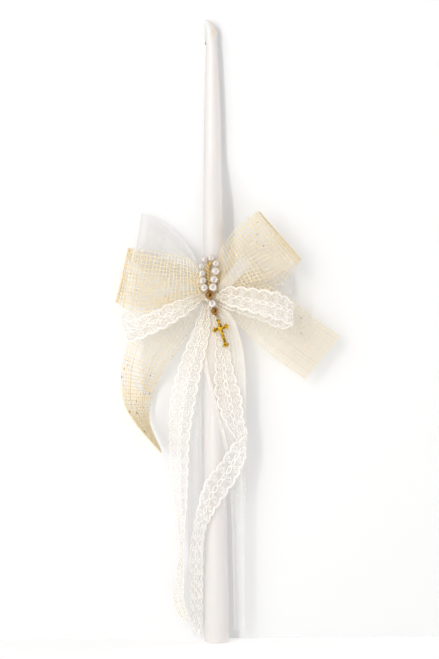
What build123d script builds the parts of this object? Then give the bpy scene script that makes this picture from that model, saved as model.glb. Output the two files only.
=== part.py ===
"""Unity candle: a dipped taper with a bow of burlap, lace and tulle, a loop of pearls and a cross.

Millimetres. The origin is the centre of the candle's base, +Z runs up the candle to its wick,
-Y is the front, where the bow is, and +X is the viewer's right.
"""

import os
from math import cos, radians, sin

from build123d import *

# Candle
BASE_RADIUS = 8.75
BASE_RIM = 1.5
SOCKET_LENGTH = 25
BODY_TOP = 432
TAPER = ((8.05, 200), (7.6, 291), (6.75, 335), (6.1, 378), (5.4, 402), (4.1, BODY_TOP))
TIP_SECTIONS = (
    (441, -0.45, 4.45, 3.2),
    (445.5, -1.0, 3.9, 2.5),
    (448.8, -2.3, 2.55, 1.5),
    (450.8, -3.9, 0.7, 0.5),
)
WICK_RADIUS = 0.8
WICK_ROUTE = ((0, 0), (0, 426), (0.8, 438), (0.4, 444.4), (-2.0, 445.6), (-2.8, 440), (-4.4, 433))
WICK_BENDS = (14, 10, 1.1, 1.1, 6)

# Bow: the knot, and everything that the knot's centre places
KNOT = Vector(-3, -13, 250)
WAIST_HALF = 5.5
WAIST_RADIUS = 2.2
WAIST_FLARE = 4.2
WIRE_RADIUS = 0.35
WIRE_TURNS = 3
WIRE_PITCH = 0.84
WIRE_SLACK = 0.02
KNOT_HALF = 3.3
KNOT_INNER = 3.0
KNOT_OUTER = 3.5
KNOT_EDGE = 3.2
KNOT_SLACK = 0.2
BAND_INNER = 8.15
BAND_THICKNESS = 0.6
BAND_HEIGHT = 9
BAND_OPENING = 44
BAND_ROUNDING = 0.25
BURLAP_THICKNESS = 0.8
LACE_THICKNESS = 0.5
TULLE_THICKNESS = 0.3

# Beads: centre and diameter, up the right strand, over the top and down the left strand
PEARLS = (
    ((-0.8, -20.8, 256.6), 6.0),
    ((0.0, -17.8, 262.1), 6.0),
    ((1.3, -16.6, 268.1), 6.0),
    ((1.5, -14.6, 273.7), 5.0),
    ((-1.9, -14.0, 277.8), 5.0),
    ((-6.4, -11.8, 276.6), 5.0),
    ((-8.8, -13.2, 271.6), 5.0),
    ((-8.4, -15.0, 266.5), 5.4),
    ((-7.9, -17.0, 261.3), 5.6),
    ((-6.9, -19.6, 256.3), 5.6),
)
THREAD_RADIUS = 0.25
BEAD_BORE = 0.35
THREAD_BEND = 1.2
THREAD_ENTRIES = (Vector(0.8, -0.3, 1.3), Vector(-0.9, 0, 1.3))
UPPER_BEAD = Vector(-3.1, -19.6, 251.0)
UPPER_BEAD_RADIUS = 3.05
UPPER_BEAD_MOUTH = 0.7
DROP_PEARL = Vector(-1.4, -18.0, 245.1)
DROP_PEARL_RADIUS = 2.95
LOWER_BEAD = Vector(0.6, -16.4, 239.5)
LOWER_BEAD_RADIUS = 2.85
PIN_RADIUS = 0.3
PIVOT_PLAY = 0.06
SPIN_CLEARANCE = 0.06
RING_RADIUS = 0.95
RING_WIRE = 0.25
RING_SLACK = 0.1

# Cross
CROSS_TILT = 17
CROSS_STEM_UP = 6.7
CROSS_STEM_DOWN = 14.4
CROSS_ARM = 6.3
CROSS_BAR = 2.2
CROSS_THICKNESS = 1.5
BUD_RADIUS = 0.95
BUD_SPREAD = 1.35
STUD_RADIUS = 0.42
BOSS_RADIUS = 1.25
BOSS_SINK = 0.4
CORE_RADIUS = 1.76
STEM_STUDS = (4.6, 2.9, -3.2, -5.4, -7.6, -9.8)

# Gold cord between the strands
GOLD_CORD_RADIUS = 0.7
GOLD_CORD_ROUTE = (
    (-3.0, -16.0, 254.2),
    (-4.6, -14.0, 260.0),
    (-6.2, -11.5, 268.0),
    (-5.8, -9.2, 274.0),
    (-1.5, -9.2, 275.4),
    (2.4, -9.6, 272.4),
)
GOLD_CORD_BENDS = (9, 7, 2.4, 2.4)

# Ribbons: the two edges of each strip at its stations, measured from the knot's centre
BURLAP_LOOP_LEFT = (
    ((-6, 0, 6), (-6, 0, -1)),
    ((-13, -5, 25.5), (-11, -4, -3)),
    ((-35, -9, 31), (-43, -8, -10)),
    ((-53, -4, 34), (-58, -3, -8)),
    ((-58.5, 4, 34.5), (-67.5, 5, -2.5)),
    ((-53, 11, 33), (-61, 12, -4)),
    ((-33, 14, 27), (-37, 15, -7)),
    ((-13, 8, 18), (-12, 8, -5)),
    ((-6, 3.6, 5), (-6, 3.6, -1)),
)
BURLAP_LOOP_RIGHT = (
    ((6, 0, 6), (6, 0, -1)),
    ((7, 2.2, 30), (16, -3, 7)),
    ((20, -5, 48.5), (43, -7, 14)),
    ((32, -3, 58), (60, -2, 23)),
    ((37, 4, 60), (65, 5, 27.5)),
    ((31, 11, 55), (61, 12, 20)),
    ((20, 14, 45), (47, 15, 7)),
    ((13, 6.5, 27), (23, 9, 3)),
    ((6, 3.6, 5), (6, 3.6, -1)),
)
BURLAP_TAIL_LEFT = (
    ((-6.3, 2.1, 4), (-6.3, 2.1, -4)),
    ((-24, 6, 3), (-10, 3.5, -11.5)),
    ((-42, 8, -6), (-19, 7, -31)),
    ((-55, 8, -24), (-28, 11, -43)),
    ((-62, -1, -45), (-36, 18, -55)),
    ((-63.5, -7, -62), (-41.5, 21, -66)),
    ((-60, -11, -79), (-45, 21, -80)),
    ((-49, -12, -95.5), (-44.5, 21, -93)),
    ((-35.5, -11, -111), (-37.5, 21, -110)),
)
BURLAP_TAIL_RIGHT = (
    ((6.3, 2.1, 3), (6.3, 2.1, -4)),
    ((21, 5, 15.5), (8, 3.2, -7)),
    ((39, 9, 9), (21, 7, -20)),
    ((58, 11, -2), (36, 10, -34.5)),
    ((77, 13, -18), (53.5, 12, -48.5)),
    ((93.5, 14, -29.5), (69, 13, -59.5)),
)
LACE_LOOP_LEFT = (
    ((-6, -2.5, 2), (-6, -2.5, -2)),
    ((-12, -7, 0.5), (-10, -6, -7)),
    ((-26, -10, -3.5), (-20, -9, -15)),
    ((-43, -9, -11), (-36, -8, -24)),
    ((-57, -5, -16), (-50.5, -4, -30.5)),
    ((-64, 0, -13.5), (-58.5, 1, -32.5)),
    ((-58, 3.5, -10), (-52, 4, -28)),
    ((-41, 3.5, -10), (-35, 4, -24)),
    ((-23, 2, -7), (-19, 2.5, -15)),
    ((-6, 0.8, -2), (-6, 0.8, -5)),
)
LACE_LOOP_RIGHT = (
    ((6, -2.5, 2), (6, -2.5, -2)),
    ((13, -7, 7), (13, -6, -6.5)),
    ((30, -11, 6), (30, -10, -12)),
    ((48, -10, 3), (47, -9, -17)),
    ((57, -5, -2), (57.5, -4, -20.5)),
    ((59.5, 0, -6), (59.5, 1, -21.5)),
    ((53, 4, -9), (51, 5, -23.5)),
    ((37, 3.5, -3), (35, 4, -17)),
    ((15, 0.8, -3), (15, 0.8, -10)),
    ((6, 0.8, -2), (6, 0.8, -5)),
)
LACE_TAIL_LEFT = (
    ((-4, -0.5, -5.5), (-0.8, -0.5, -5.5)),
    ((-12.5, 1.4, -24), (0, 1.8, -24)),
    ((-23, 3, -50), (-5.5, 2.5, -50)),
    ((-29, 6, -74), (-10.5, 5, -74)),
    ((-30.5, 9, -100), (-15, 6, -100)),
    ((-30, 12, -124), (-16.5, 5, -124)),
    ((-28.4, 14, -144), (-17.3, 3, -144)),
    ((-25.5, 15, -164), (-19, 1, -164)),
    ((-23.7, 15, -185), (-20.6, 0, -185)),
    ((-27, 14, -205), (-20.3, 0, -205)),
    ((-29, 12, -221), (-20, 1, -219)),
    ((-21, 10, -236), (-15.5, 1, -232)),
)
LACE_TAIL_RIGHT = (
    ((0.4, -0.3, -5.5), (3.8, -0.3, -5.2)),
    ((1.5, 1.6, -10.5), (7, 1.6, -10)),
    ((3.5, 2.2, -24), (12.5, 2.4, -24)),
    ((3.5, 2.2, -45), (15.5, 2.6, -47)),
    ((2.5, 2.4, -62), (19.5, 2.7, -62)),
    ((4, 2.4, -75), (22.5, 2.8, -71)),
    ((9, 2.4, -89), (23.5, 2.8, -85.5)),
    ((16, 2.6, -100.5), (24.5, 3, -93)),
    ((24.5, 2.4, -113), (26, 2.6, -99)),
    ((23, 1.2, -121), (16, 1.2, -105.5)),
    ((17, 1.4, -133.5), (6.5, 1.4, -119)),
    ((4.5, 1.8, -151.5), (-5, 1.8, -134)),
    ((-2.5, 2.4, -163.5), (-11.5, 5.5, -158)),
    ((-5.6, 4.2, -176), (-15, 8.5, -176)),
    ((-6.3, 6, -192), (-16.6, 10, -192)),
    ((-6.6, 7, -205), (-17.2, 10, -205)),
    ((-6.9, 8, -225), (-16.6, 9, -225)),
    ((-7.5, 8, -244), (-15, 9, -241)),
)
TULLE_LOOP_LEFT = (
    ((-6.5, 5.8, 6.5), (-6.5, 5.8, 0.5)),
    ((-11.5, 11.5, 31), (-19, 12, 12)),
    ((-27, 17.5, 49.5), (-39, 18, 18)),
    ((-42, 18, 60), (-51, 18.5, 23)),
    ((-51, 19.5, 62), (-55, 20, 27)),
    ((-41, 21.5, 59), (-51, 22, 22)),
    ((-26, 21, 47), (-38, 21.5, 16)),
    ((-10.5, 15, 30), (-17, 15.5, 11)),
    ((-7.2, 9, 6), (-7.2, 9, 1)),
)
TULLE_LOOP_RIGHT = (
    ((12, 9.4, 6), (12, 9.4, 0)),
    ((23, 13, 16), (23, 13.5, 0)),
    ((43, 17.5, 21), (44, 18, -1)),
    ((59, 19, 18.5), (61.5, 19.5, 2.5)),
    ((43, 21, 20), (44, 21.5, -1.5)),
    ((23, 17, 15), (23, 17.5, -1)),
    ((12.8, 12.5, 6), (12.8, 12.5, 0)),
)
TULLE_TAIL_LEFT = (
    ((-6.3, 4.2, -5.5), (-3.5, 4.2, -5.5)),
    ((-12, 7.5, -24), (-6.5, 7, -24)),
    ((-16, 9.5, -50), (-7, 8.5, -50)),
    ((-17.5, 11.5, -90), (-7, 10.5, -90)),
    ((-17.5, 12.5, -147), (-7, 12, -147)),
    ((-16.5, 16, -190), (-7, 16, -190)),
    ((-14.5, 16, -246), (-6.6, 16, -246)),
)
TULLE_TAIL_RIGHT = (
    ((-2.5, 2.8, -6), (5, 2.8, -5.5)),
    ((-5.5, 3.7, -18), (16, 3.7, -14)),
    ((-6.2, 3.8, -35), (23, 4.5, -34.5)),
    ((-5, 3.8, -50), (25, 5, -50)),
    ((-1, 3.7, -64), (25.5, 6, -64)),
    ((3, 3.5, -80), (25.5, 7, -82)),
    ((8, 4, -100), (25.3, 8, -100)),
    ((12, 6, -120), (25, 9, -120)),
    ((14, 8, -150), (24.5, 10, -150)),
    ((15, 8.5, -195), (24, 10.5, -195)),
    ((15.3, 9, -241), (23.8, 11, -241.5)),
)


def save(part, name):
    """Label one piece and write it as its own STEP."""
    part.label = name
    export_step(part, f"parts/{name}.step")


def ribbon(stations, thickness, fold):
    """A thin strip through its stations, each of which gives the strip's two edges; fold is the
    station where the strip turns back on itself, or its last one where it doesn't."""
    edges = [(KNOT + Vector(*a), KNOT + Vector(*b)) for a, b in stations]
    with BuildPart() as strip:
        for layer in (edges[: fold + 1], edges[fold:]):
            if len(layer) < 2:
                continue
            middles = [(a + b) * 0.5 for a, b in layer]
            for i, (a, b) in enumerate(layer):
                across = (b - a).normalized()
                onward = middles[min(i + 1, len(layer) - 1)] - middles[max(i - 1, 0)]
                onward = onward - across * onward.dot(across)
                with BuildSketch(Plane(origin=middles[i], x_dir=across, z_dir=onward)):
                    Rectangle((b - a).length, thickness)
            loft(ruled=True)
    return strip.part


def tube(points, radii, radius):
    """A round cord along straight runs and tangent arcs."""
    with BuildPart() as cord:
        with BuildLine() as route:
            FilletPolyline(*points, radius=radii)
        with BuildSketch(Plane(origin=points[0], z_dir=route.line % 0)):
            Circle(radius)
        sweep(path=route.line)
    return cord.part


def rod(start, end, radius):
    """A plain round rod between two points."""
    with BuildPart() as bar:
        with BuildSketch(Plane(origin=start, z_dir=end - start)):
            Circle(radius)
        extrude(amount=(end - start).length)
    return bar.part


os.makedirs("parts", exist_ok=True)

# Wick, from the base through the wax and over at the tip
wick_points = [Vector(x, 0, z) for x, z in WICK_ROUTE]
wick = tube(wick_points, WICK_BENDS, WICK_RADIUS)
save(wick, "wick")

# Candle body: turned taper, closed by a thin fin of wax that leans to the left
with BuildPart() as candle_body:
    with BuildSketch(Plane.XZ) as profile:
        with BuildLine():
            Polyline((0, 0), (BASE_RADIUS - BASE_RIM, 0))
            RadiusArc((BASE_RADIUS - BASE_RIM, 0), (BASE_RADIUS, BASE_RIM), -BASE_RIM)
            Line((BASE_RADIUS, BASE_RIM), (BASE_RADIUS, SOCKET_LENGTH))
            Spline((BASE_RADIUS, SOCKET_LENGTH), *TAPER)
            Polyline((TAPER[-1][0], BODY_TOP), (0, BODY_TOP), (0, 0))
        make_face()
    revolve(axis=Axis.Z)
    with BuildSketch(Plane.XY.offset(BODY_TOP)):
        Circle(TAPER[-1][0])
    for height, shift, half_width, half_depth in TIP_SECTIONS:
        with BuildSketch(Plane(origin=(shift, 0, height))):
            Ellipse(half_width, half_depth)
    loft()
    add(wick, mode=Mode.SUBTRACT)
save(candle_body.part, "candle_body")

# Waist of the burlap: gathered, and flared to both sides of the knot
across_bow = Plane(origin=KNOT, x_dir=(1, 0, 0), z_dir=(0, -1, 0))
bow_axis = Axis(KNOT, (1, 0, 0))
with BuildPart() as burlap_waist:
    with BuildSketch(across_bow):
        with BuildLine():
            flank = Spline(
                (-WAIST_HALF, WAIST_FLARE),
                (-WAIST_HALF / 2, WAIST_RADIUS),
                (WAIST_HALF / 2, WAIST_RADIUS),
                (WAIST_HALF, WAIST_FLARE),
            )
            Polyline(flank @ 1, (WAIST_HALF, 0), (-WAIST_HALF, 0), flank @ 0)
        make_face()
    revolve(axis=bow_axis)
    with BuildSketch(across_bow):
        with Locations((0, (KNOT_INNER + WAIST_RADIUS) / 2)):
            Rectangle(2 * (KNOT_HALF + KNOT_SLACK), KNOT_INNER - WAIST_RADIUS)
    revolve(axis=bow_axis, mode=Mode.SUBTRACT)
save(burlap_waist.part, "burlap_waist")

# Wire turns that hold the waist gathered, hidden under the knot
with BuildPart() as florist_wire:
    with BuildSketch(across_bow):
        with GridLocations(WIRE_PITCH, 1, WIRE_TURNS, 1):
            with Locations((0, WAIST_RADIUS + WIRE_RADIUS + WIRE_SLACK)):
                Circle(WIRE_RADIUS)
    revolve(axis=bow_axis)
save(florist_wire.part, "florist_wire")

# Knot of the lace, a short barrel over the wire
with BuildPart() as lace_knot:
    with BuildSketch(across_bow):
        with BuildLine():
            crown = ThreePointArc((-KNOT_HALF, KNOT_EDGE), (0, KNOT_OUTER), (KNOT_HALF, KNOT_EDGE))
            Polyline(crown @ 1, (KNOT_HALF, KNOT_INNER), (-KNOT_HALF, KNOT_INNER), crown @ 0)
        make_face()
    revolve(axis=bow_axis)
save(lace_knot.part, "lace_knot")

# Lace band round the back of the candle
with BuildPart() as lace_band:
    with BuildSketch(Plane.XZ.rotated((0, 0, BAND_OPENING / 2))):
        with Locations((-BAND_INNER - BAND_THICKNESS / 2, KNOT.Z)):
            RectangleRounded(BAND_THICKNESS, BAND_HEIGHT, BAND_ROUNDING)
    revolve(axis=Axis.Z, revolution_arc=360 - BAND_OPENING)
save(lace_band.part, "lace_band")

# Ribbons
for name, stations, thickness, fold in (
    ("burlap_loop_left", BURLAP_LOOP_LEFT, BURLAP_THICKNESS, 4),
    ("burlap_loop_right", BURLAP_LOOP_RIGHT, BURLAP_THICKNESS, 4),
    ("burlap_tail_left", BURLAP_TAIL_LEFT, BURLAP_THICKNESS, 8),
    ("burlap_tail_right", BURLAP_TAIL_RIGHT, BURLAP_THICKNESS, 5),
    ("lace_loop_left", LACE_LOOP_LEFT, LACE_THICKNESS, 5),
    ("lace_loop_right", LACE_LOOP_RIGHT, LACE_THICKNESS, 5),
    ("lace_tail_left", LACE_TAIL_LEFT, LACE_THICKNESS, 11),
    ("lace_tail_right", LACE_TAIL_RIGHT, LACE_THICKNESS, 8),
    ("tulle_loop_left", TULLE_LOOP_LEFT, TULLE_THICKNESS, 4),
    ("tulle_loop_right", TULLE_LOOP_RIGHT, TULLE_THICKNESS, 3),
    ("tulle_tail_left", TULLE_TAIL_LEFT, TULLE_THICKNESS, 6),
    ("tulle_tail_right", TULLE_TAIL_RIGHT, TULLE_THICKNESS, 10),
):
    save(ribbon(stations, thickness, fold), name)

# Gold cord that stands between the strands of pearls
gold_cord = tube([Vector(*p) for p in GOLD_CORD_ROUTE], GOLD_CORD_BENDS, GOLD_CORD_RADIUS)
save(gold_cord, "gold_cord")

# Thread of the pearl loop: both ends enter the upper gold bead
loop_points = [UPPER_BEAD + THREAD_ENTRIES[0]]
loop_points += [Vector(*centre) for centre, diameter in PEARLS]
loop_points += [UPPER_BEAD + THREAD_ENTRIES[1]]
bead_thread = tube(loop_points, THREAD_BEND, THREAD_RADIUS)
save(bead_thread, "bead_thread")
thread_way = tube(loop_points, THREAD_BEND, BEAD_BORE)

# Pearls of the loop
for number, (centre, diameter) in enumerate(PEARLS, start=1):
    with BuildPart() as pearl:
        with Locations(Location(centre, (90, 0, 0))):
            Sphere(diameter / 2)
        add(thread_way, mode=Mode.SUBTRACT)
    save(pearl.part, f"pearl_{number:02d}")

# The drop: a thread through the pearl and an eye pin through the lower bead
upper_gap = ((DROP_PEARL - UPPER_BEAD).length - UPPER_BEAD_RADIUS - DROP_PEARL_RADIUS) / 2
upper_pivot = UPPER_BEAD + (DROP_PEARL - UPPER_BEAD).normalized() * (UPPER_BEAD_RADIUS + upper_gap)
lower_gap = ((LOWER_BEAD - DROP_PEARL).length - DROP_PEARL_RADIUS - LOWER_BEAD_RADIUS) / 2
pin_line = (LOWER_BEAD - DROP_PEARL).normalized()
lower_pivot = DROP_PEARL + pin_line * (DROP_PEARL_RADIUS + lower_gap)
ring_centre = LOWER_BEAD + pin_line * (LOWER_BEAD_RADIUS + RING_WIRE + RING_RADIUS)

with BuildPart() as gold_bead_upper:
    with Locations(UPPER_BEAD):
        Sphere(UPPER_BEAD_RADIUS)
    add(thread_way, mode=Mode.SUBTRACT)
    add(rod(UPPER_BEAD, upper_pivot, UPPER_BEAD_MOUTH), mode=Mode.SUBTRACT)
save(gold_bead_upper.part, "gold_bead_upper")

thread_line = (lower_pivot - upper_pivot).normalized()
thread_top = upper_pivot - thread_line * 2 * upper_gap
drop_thread = rod(thread_top, lower_pivot - thread_line * PIVOT_PLAY, THREAD_RADIUS)
save(drop_thread, "drop_thread")

with BuildPart() as drop_pearl:
    with Locations(DROP_PEARL):
        Sphere(DROP_PEARL_RADIUS)
    add(rod(upper_pivot, lower_pivot, THREAD_RADIUS + SPIN_CLEARANCE), mode=Mode.SUBTRACT)
save(drop_pearl.part, "drop_pearl")

with BuildPart() as drop_pin:
    add(rod(lower_pivot + pin_line * PIVOT_PLAY, ring_centre - pin_line * RING_RADIUS, PIN_RADIUS))
    with Locations(Plane(origin=ring_centre, x_dir=(1, 0, 0), z_dir=(0, -1, 0))):
        Torus(RING_RADIUS, RING_WIRE)
save(drop_pin.part, "drop_pin")

with BuildPart() as gold_bead_lower:
    with Locations(LOWER_BEAD):
        Sphere(LOWER_BEAD_RADIUS)
    add(rod(lower_pivot, ring_centre, PIN_RADIUS + SPIN_CLEARANCE), mode=Mode.SUBTRACT)
save(gold_bead_lower.part, "gold_bead_lower")

# Cross: a cast plate with three buds at each end, studs, a centre boss and its own eyelet
tilt = radians(CROSS_TILT)
down = Vector(sin(tilt), 0, -cos(tilt))
eyelet_centre = ring_centre + down * (2 * RING_RADIUS - 2 * RING_WIRE - RING_SLACK)
cross_centre = eyelet_centre + down * (RING_RADIUS + CROSS_STEM_UP)
cross_plane = Plane(origin=cross_centre, x_dir=(cos(tilt), 0, sin(tilt)), z_dir=(0, -1, 0))
arm_ends = (((CROSS_ARM, 0), 0), ((-CROSS_ARM, 0), 180), ((0, -CROSS_STEM_DOWN), 270))
bud_centres = ((-BUD_RADIUS, 0), (-2 * BUD_RADIUS, BUD_SPREAD), (-2 * BUD_RADIUS, -BUD_SPREAD))
with BuildPart() as cross_pendant:
    with BuildSketch(cross_plane):
        Rectangle(2 * CROSS_ARM - 2 * BUD_RADIUS, CROSS_BAR)
        with Locations((0, (CROSS_STEM_UP - CROSS_STEM_DOWN + BUD_RADIUS) / 2)):
            Rectangle(CROSS_BAR, CROSS_STEM_UP + CROSS_STEM_DOWN - BUD_RADIUS)
        Circle(CORE_RADIUS)
        for end, turn in arm_ends:
            with Locations(Location((*end, 0), (0, 0, turn))):
                with Locations(*bud_centres):
                    Circle(BUD_RADIUS)
    extrude(amount=CROSS_THICKNESS / 2, both=True)
    front_face = cross_plane.offset(CROSS_THICKNESS / 2)
    with Locations(front_face):
        with Locations((0, 0, -BOSS_SINK)):
            Sphere(BOSS_RADIUS)
        with Locations(*[(0, up) for up in STEM_STUDS]):
            Sphere(STUD_RADIUS)
        for end, turn in arm_ends:
            with Locations(Location((*end, 0), (0, 0, turn))):
                with Locations(*bud_centres):
                    Sphere(STUD_RADIUS)
    with Locations(Plane(origin=eyelet_centre, x_dir=(0, 1, 0), z_dir=(1, 0, 0))):
        Torus(RING_RADIUS, RING_WIRE)
save(cross_pendant.part, "cross_pendant")

print("upper pivot", upper_pivot, "lower pivot", lower_pivot)
print("ring centre", ring_centre, "cross centre", cross_centre)
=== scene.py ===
"""Looks of the unity candle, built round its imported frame: wax, jute, lace, tulle, pearls and gold.

Metres throughout, in the frame's own axes: +Z up the candle, -Y the front, +X the viewer's right.
"""

import math

import bpy
import numpy as np
from mathutils import Matrix, Vector


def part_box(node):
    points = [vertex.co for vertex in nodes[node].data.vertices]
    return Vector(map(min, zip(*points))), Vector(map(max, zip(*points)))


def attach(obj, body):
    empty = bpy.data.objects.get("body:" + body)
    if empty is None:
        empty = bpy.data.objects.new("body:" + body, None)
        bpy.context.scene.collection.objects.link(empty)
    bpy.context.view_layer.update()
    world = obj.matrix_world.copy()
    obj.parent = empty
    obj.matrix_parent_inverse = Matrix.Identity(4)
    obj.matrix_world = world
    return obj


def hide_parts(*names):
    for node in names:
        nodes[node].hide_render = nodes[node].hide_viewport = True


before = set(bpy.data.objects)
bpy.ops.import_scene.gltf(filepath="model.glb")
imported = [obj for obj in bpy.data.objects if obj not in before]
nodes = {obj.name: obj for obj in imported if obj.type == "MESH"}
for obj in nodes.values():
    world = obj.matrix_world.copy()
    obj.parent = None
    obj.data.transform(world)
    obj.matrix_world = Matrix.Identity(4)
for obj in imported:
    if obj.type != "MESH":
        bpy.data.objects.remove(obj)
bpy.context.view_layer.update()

MM = 0.001
ROOT = "candle"
rng = np.random.default_rng(7)


def middle_of(node):
    """The centre of a CAD node's box."""
    low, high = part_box(node)
    return np.array((low + high) / 2)


KNOT = middle_of("lace_knot")

# Camera: level, at the candle's mid height, and rolled a little, so that the candle leans left
CAMERA_DISTANCE = 1.4
CAMERA_AIM = Vector((3.8 * MM, 0, 226.4 * MM))
CAMERA_ROLL = math.radians(0.47)
CAMERA_CLIP = (0.01, 20)
VIEW_HEIGHT = 477.5 * MM
SENSOR = 36

# Floor, the card behind the candle, and the dark card that only reflections see
FLOOR_HALF = 3
FLOOR_GLOW = 0.2
CARD_HALF = 0.6
CARD_HEIGHT = 0.9
CARD_ROWS = 91
CARD_WHITE = 0.83
CARD_PLACE = 17 * MM
CARD_TOP_PLACE = 7.5 * MM
CARD_TURN = 0.315
CARD_RISE = 0.04
DARK_CARD = ((-0.10, 0.165), (0.085, 0.360))
DARK_CARD_PLACE = -0.1
DARK_CARD_GREY = 0.02

# Light: the world's strength in front, behind and in reflections, then the area lights
WORLD_FRONT = 0.45
WORLD_BACK = 0.7
WORLD_GLOSS = 0.8
KEY_PLACE = (-0.98, -1.36, 0.8)
KEY_AIM = (0, 0, 0.2)
KEY_SIZE = 1.4
KEY_POWER = 11.6
KEY_COLOUR = (1.0, 0.985, 0.97)
KEY_GLOSS = 0.15
FILL_PLACE = (0.5, -1.7, 0.5)
FILL_AIM = (0, 0, 0.2)
FILL_SIZE = 1.2
FILL_POWER = 2.8
BOUNCE_PLACE = (0.9, 0.1, 0.25)
BOUNCE_AIM = (0, 0, 0.22)
BOUNCE_SIZE = 0.6
BOUNCE_POWER = 2.0
STRIP_PLACE = (-0.58, -1.37, 0.25)
STRIP_AIM = (0, 0, 0.25)
STRIP_WIDTH = 0.1
STRIP_HEIGHT = 1.6
STRIP_POWER = 9

# Cloth: how much of a strip's flat width is kept where it is gathered, and how deep its pleats are
GATHERED = 0.75
PLEAT_DEPTH = 1.6 * MM
THINNEST = 0.5
STATION_STEPS = 24

# Burlap: flecks are the share of dark points, and hairs are loose fibres. The sways and the frayed
# ends are shares of the width, slubs are shares of the thread, and hair lengths are in millimetres.
BURLAP_WIDTH = 38 * MM
BURLAP_PLEATS = 3
BURLAP_CELLS = 14
BURLAP_THREAD = 0.22 * MM
BURLAP_ROUND = 2.2
BURLAP_CRIMP = 0.22 * MM
BURLAP_RIPPLE = 0.2 * MM
# Painted light: the jute's tone is paler near the knot and turns tan over this reach.
PAINTED_LIGHT_REACH = 75 * MM
FLECKS = 0.004
HAIRS = 160
HAIR_THREAD = 0.06 * MM
HAIR_LENGTHS = (0.8, 2.6)
LONG_SWAY = 0.0035
CROSS_DRIFT = 0.14 * MM
CROSS_SWAY = 0.16 * MM
SLUB = 0.15
FRAY = 0.018
FRAY_SPREAD = 0.02

# Lace
LACE_WIDTH = 17 * MM
LACE_PLEATS = 2
LACE_REPEAT = 8.5 * MM
LACE_FLOWER = 4.1 * MM
LACE_OVAL = LACE_REPEAT * 2 / 3
LACE_RING = 3.1 * MM
LACE_SCALLOP = 2.3 * MM
LACE_RIPPLE = 0.12 * MM
LACE_CORD_FLAT = 0.5
EDGE_CORDS = ((0.3 * MM, 0.48 * MM), (1.35 * MM, 0.18 * MM))
OVAL_HALF_WIDTH = 1.4 * MM
OVAL_HALF_LENGTH = 2.7 * MM
OVAL_CORD = 0.34 * MM
PETAL_PLACES = np.array([0.55, 1.2, 1.9, 2.5]) * MM
PETAL_THREAD = np.array([0.18, 0.26, 0.34, 0.22]) * MM
GROUND_COVER = 0.16

# Tulle
TULLE_STEP = 3 * MM
TULLE_DRIFT = 0.8
FOLD_LAP = 1.05
FOLD_DEPTH = 0.7 * MM
FOLD_WIDTH = 20 * MM
FOLD_RIPPLE = 0.5 * MM

# Knot, waist, band and gold cord
WAIST_THREADS = 44
WAIST_THREAD = 0.3 * MM
FAN_TURN = 62
FAN_THREADS = 33
FAN_REACH = 18 * MM
FAN_START = 2 * MM
FAN_BACK = 0.21
FAN_ROW_GAP = 2.1 * MM
FAN_THREAD = 0.27 * MM
FAN_CROSS_THREAD = 0.25 * MM
KNOT_RIBS = 7
KNOT_CORD = 0.55 * MM
BAND_RADIUS = 9.6 * MM
BAND_REACH = math.radians(156)
CORD_STRANDS = 4
CORD_STRAND_RADIUS = 0.55 * MM
CORD_TWIST_RADIUS = 0.85 * MM
CORD_PITCH = 5.2 * MM
CAST_VOXEL = 0.1 * MM
CAST_PASSES = 3

# Colours
WAX_COLOUR = (0.72, 0.695, 0.68)
WAX_SHADE = (0.70, 0.67, 0.65)
WAX_FIN = (0.70, 0.69, 0.67)
WAX_STAIN = (0.70, 0.57, 0.42)
PEARL_COLOUR = (0.97, 0.94, 0.91)
PEARL_WARM = (0.94, 0.89, 0.84)
PEARL_RIM_SHADE = (0.60, 0.45, 0.31)
GOLD_BRIGHT = (0.96, 0.56, 0.02)
GOLD_TARNISH = (0.16, 0.07, 0.003)
WHITE = (1.0, 1.0, 1.0)

# Ribbons: the two edges of each strip at its stations, in millimetres from the knot's centre.
# The CAD source has the same stations, but for a few of the lace beside the knot.
BURLAP_LOOP_LEFT = (
    ((-6, 0, 6), (-6, 0, -1)),
    ((-13, -5, 25.5), (-11, -4, -3)),
    ((-35, -9, 31), (-43, -8, -10)),
    ((-53, -4, 34), (-58, -3, -8)),
    ((-58.5, 4, 34.5), (-67.5, 5, -2.5)),
    ((-53, 11, 33), (-61, 12, -4)),
    ((-33, 14, 27), (-37, 15, -7)),
    ((-13, 8, 18), (-12, 8, -5)),
    ((-6, 3.6, 5), (-6, 3.6, -1)),
)
BURLAP_LOOP_RIGHT = (
    ((6, 0, 6), (6, 0, -1)),
    ((7, 2.2, 30), (16, -3, 7)),
    ((20, -5, 48.5), (43, -7, 14)),
    ((32, -3, 58), (60, -2, 23)),
    ((37, 4, 60), (65, 5, 27.5)),
    ((31, 11, 55), (61, 12, 20)),
    ((20, 14, 45), (47, 15, 7)),
    ((13, 6.5, 27), (23, 9, 3)),
    ((6, 3.6, 5), (6, 3.6, -1)),
)
BURLAP_TAIL_LEFT = (
    ((-6.3, 2.1, 4), (-6.3, 2.1, -4)),
    ((-24, 6, 3), (-10, 3.5, -11.5)),
    ((-42, 8, -6), (-19, 7, -31)),
    ((-55, 8, -24), (-28, 11, -43)),
    ((-62, -1, -45), (-36, 18, -55)),
    ((-63.5, -7, -62), (-41.5, 21, -66)),
    ((-60, -11, -79), (-45, 21, -80)),
    ((-49, -12, -95.5), (-44.5, 21, -93)),
    ((-35.5, -11, -111), (-37.5, 21, -110)),
)
BURLAP_TAIL_RIGHT = (
    ((6.3, 2.1, 3), (6.3, 2.1, -4)),
    ((21, 5, 15.5), (8, 3.2, -7)),
    ((39, 9, 9), (21, 7, -20)),
    ((58, 11, -2), (36, 10, -34.5)),
    ((77, 13, -18), (53.5, 12, -48.5)),
    ((93.5, 14, -29.5), (69, 13, -59.5)),
)
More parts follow.
